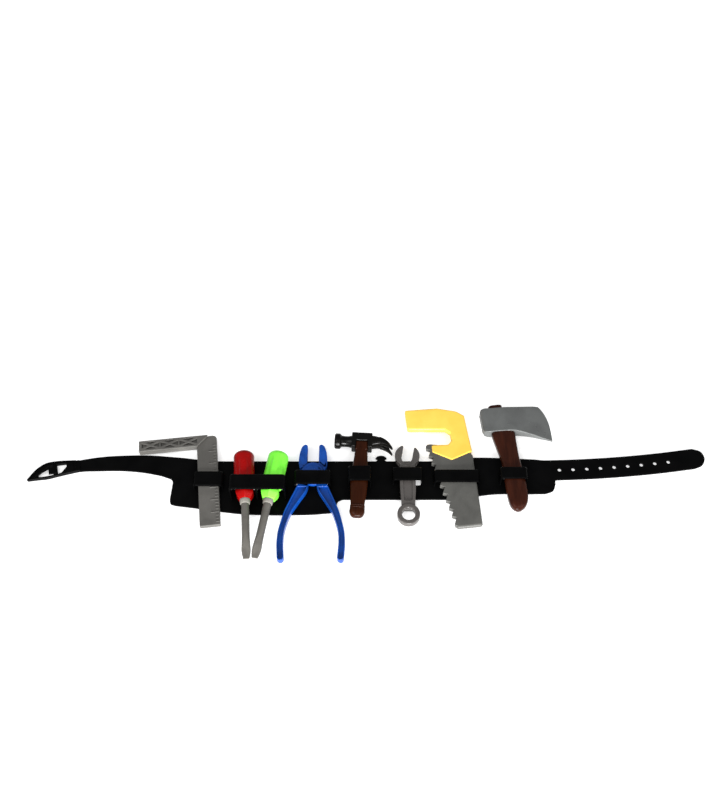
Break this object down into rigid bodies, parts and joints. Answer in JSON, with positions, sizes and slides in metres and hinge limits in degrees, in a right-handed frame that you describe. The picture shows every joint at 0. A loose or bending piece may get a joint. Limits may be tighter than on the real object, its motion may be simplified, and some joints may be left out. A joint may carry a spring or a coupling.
{
  "type": "toy tool belt",
  "caption": "Flexible moulded toy belt with a row of tool loops holding lift-out play tools, a pronged buckle at one end and a holed strap at the other.",
  "frame": {"origin": "back face of the belt, under the hanging tab, midway up the belt", "axes": "+X along the belt towards the strap with holes, +Y towards the upper edge that tools are drawn out of, +Z out of the belt towards the tools"},
  "size_m": [0.791, 0.2018, 0.03],
  "materials": {
    "belt_plastic": "satin black moulded plastic, slightly glossy",
    "square_grey": "satin grey plastic",
    "red_grip": "gloss red plastic",
    "green_grip": "gloss lime green plastic",
    "rod_grey": "satin grey plastic",
    "pliers_blue": "gloss blue plastic",
    "hammer_black": "gloss black plastic",
    "hammer_brown": "gloss dark brown plastic",
    "wrench_grey": "satin silver-grey plastic",
    "saw_yellow": "gloss yellow plastic",
    "blade_grey": "satin grey plastic",
    "axe_grey": "satin grey plastic",
    "axe_brown": "gloss red-brown plastic"
  },
  "bodies": {
    "belt_mid": {"panel_mid": "belt_plastic", "hang_tab": "belt_plastic", "loop_pliers": "belt_plastic", "loop_hammer": "belt_plastic", "loop_wrench": "belt_plastic"},
    "belt_left": {"panel_left": "belt_plastic", "loop_square": "belt_plastic", "loop_drivers": "belt_plastic"},
    "belt_right": {"panel_right": "belt_plastic", "loop_saw": "belt_plastic", "loop_axe": "belt_plastic"},
    "buckle_end": {"strap_left": "belt_plastic", "buckle_frame": "belt_plastic"},
    "hole_end": {"strap_right": "belt_plastic"},
    "prong": {"buckle_prong": "belt_plastic"},
    "square": {"square_arm": "square_grey", "square_blade": "square_grey"},
    "red_driver": {"red_handle": "red_grip", "red_collar": "rod_grey", "red_shaft": "rod_grey"},
    "green_driver": {"green_handle": "green_grip", "green_collar": "rod_grey", "green_shaft": "rod_grey"},
    "pliers_a": {"pliers_half_a": "pliers_blue", "pliers_pin": "pliers_blue"},
    "pliers_b": {"pliers_half_b": "pliers_blue"},
    "hammer": {"hammer_head": "hammer_black", "hammer_handle": "hammer_brown"},
    "wrench": {"wrench": "wrench_grey"},
    "saw": {"saw_handle": "saw_yellow", "saw_blade": "blade_grey"},
    "axe": {"axe_head": "axe_grey", "axe_handle": "axe_brown"}
  },
  "joints": [
    {"name": "bend_right", "type": "hinge", "parent": "belt_mid", "child": "belt_right", "pos_m": [0.0565, 0, 0], "axis": [0, 1, 0], "range_deg": [0, 60], "stiffness_Nm_per_rad": 0.12},
    {"name": "bend_hole_end", "type": "hinge", "parent": "belt_right", "child": "hole_end", "pos_m": [0.2035, 0.014, 0], "axis": [0, 1, 0], "range_deg": [0, 60], "stiffness_Nm_per_rad": 0.06},
    {"name": "bend_left", "type": "hinge", "parent": "belt_mid", "child": "belt_left", "pos_m": [-0.103, 0, 0], "axis": [0, -1, 0], "range_deg": [0, 60], "stiffness_Nm_per_rad": 0.12},
    {"name": "bend_buckle_end", "type": "hinge", "parent": "belt_left", "child": "buckle_end", "pos_m": [-0.25, 0.018, 0], "axis": [0, -1, 0], "range_deg": [0, 60], "stiffness_Nm_per_rad": 0.06},
    {"name": "prong_turn", "type": "hinge", "parent": "buckle_end", "child": "prong", "pos_m": [-0.37926, 0.01195, 0.003], "axis": [-0.2419, 0.9703, 0], "range_deg": [0, 120]},
    {"name": "square_out", "type": "slide", "parent": "belt_left", "child": "square", "axis": [-0.1132, 0.9936, 0], "range_m": [0, 0.075]},
    {"name": "red_driver_out", "type": "slide", "parent": "belt_left", "child": "red_driver", "axis": [-0.0802, 0.9968, 0], "range_m": [0, 0.1]},
    {"name": "green_driver_out", "type": "slide", "parent": "belt_left", "child": "green_driver", "axis": [0.1599, 0.9871, 0], "range_m": [0, 0.1]},
    {"name": "pliers_out", "type": "slide", "parent": "belt_mid", "child": "pliers_a", "axis": [0, -1, 0], "range_m": [0, 0.06]},
    {"name": "pliers_close", "type": "hinge", "parent": "pliers_a", "child": "pliers_b", "pos_m": [-0.0792, 0.006, 0.0075], "axis": [0, 0, 1], "range_deg": [0, 18]},
    {"name": "hammer_out", "type": "slide", "parent": "belt_mid", "child": "hammer", "axis": [0.061, 0.9981, 0], "range_m": [0, 0.07]},
    {"name": "wrench_out", "type": "slide", "parent": "belt_mid", "child": "wrench", "axis": [0, -1, 0], "range_m": [0, 0.05]},
    {"name": "saw_out", "type": "slide", "parent": "belt_right", "child": "saw", "axis": [-0.0698, 0.9976, 0], "range_m": [0, 0.075]},
    {"name": "axe_out", "type": "slide", "parent": "belt_right", "child": "axe", "axis": [-0.1392, 0.9903, 0], "range_m": [0, 0.06]}
  ]
}
